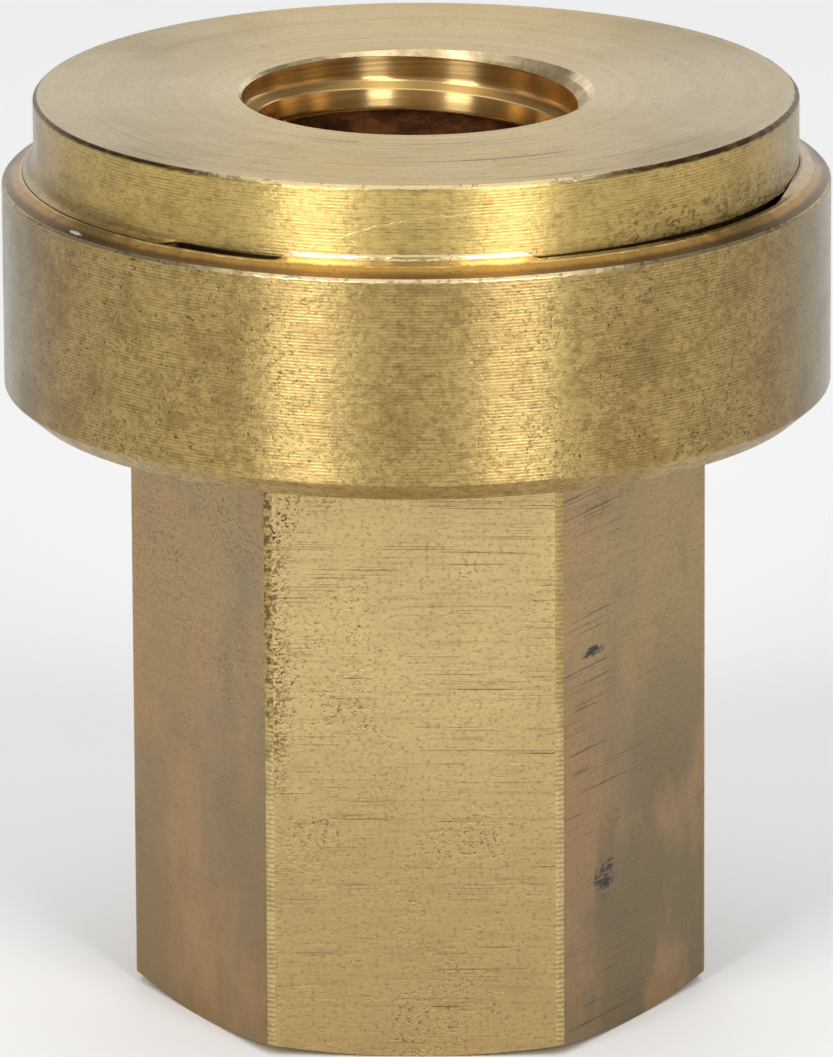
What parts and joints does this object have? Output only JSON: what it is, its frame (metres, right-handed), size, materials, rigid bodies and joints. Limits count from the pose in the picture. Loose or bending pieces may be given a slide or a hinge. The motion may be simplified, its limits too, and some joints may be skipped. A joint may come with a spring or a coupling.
{
  "type": "water pressure regulator",
  "caption": "Inline fixed-preset water pressure regulator in solid brass: hexagonal inlet end, wide round head, threaded cap, hollow piston and spring inside.",
  "frame": {"origin": "centre of the inlet end face, on the axis of flow", "axes": "+Z along the flow, from the hexagonal inlet end to the outlet cap; -Y is the front flat of the hexagon"},
  "size_m": [0.0494, 0.0494, 0.0554],
  "materials": {
    "brass_housing": "turned and milled, bare, slightly tarnished",
    "brass_cap": "turned, bare",
    "brass_inner": "turned, bare",
    "rubber": "matt black",
    "stainless": "fine turned",
    "plated_steel": "zinc plated",
    "spring_steel": "drawn wire",
    "acetal": "natural acetal",
    "ptfe": "waxy white",
    "sintered_bronze": "sintered, rough"
  },
  "bodies": {
    "housing": {"body": "brass_housing", "outlet_cap": "brass_cap", "cap_seal": "rubber", "stem_seal": "rubber", "stem_backup_ring": "ptfe", "guide_bush": "acetal", "spring_washer": "plated_steel", "preset_shim_1": "plated_steel", "preset_shim_2": "plated_steel", "pressure_spring": "spring_steel", "seat_holder": "brass_inner", "seat_disc": "rubber", "seat_screw": "stainless", "seat_ring": "spring_steel", "inlet_gasket": "rubber", "inlet_strainer": "stainless", "vent_filter": "sintered_bronze"},
    "piston": {"piston_head": "brass_inner", "piston_seal": "rubber", "piston_stem": "stainless", "stem_joint_seal": "rubber", "stem_nut": "brass_inner"}
  },
  "joints": [
    {"name": "piston_slide", "type": "slide", "parent": "housing", "child": "piston", "axis": [0, 0, 1], "range_m": [-0.002, 0], "stiffness_N_per_m": 14000, "springref_m": 0.001, "deforming": ["pressure_spring"]}
  ]
}
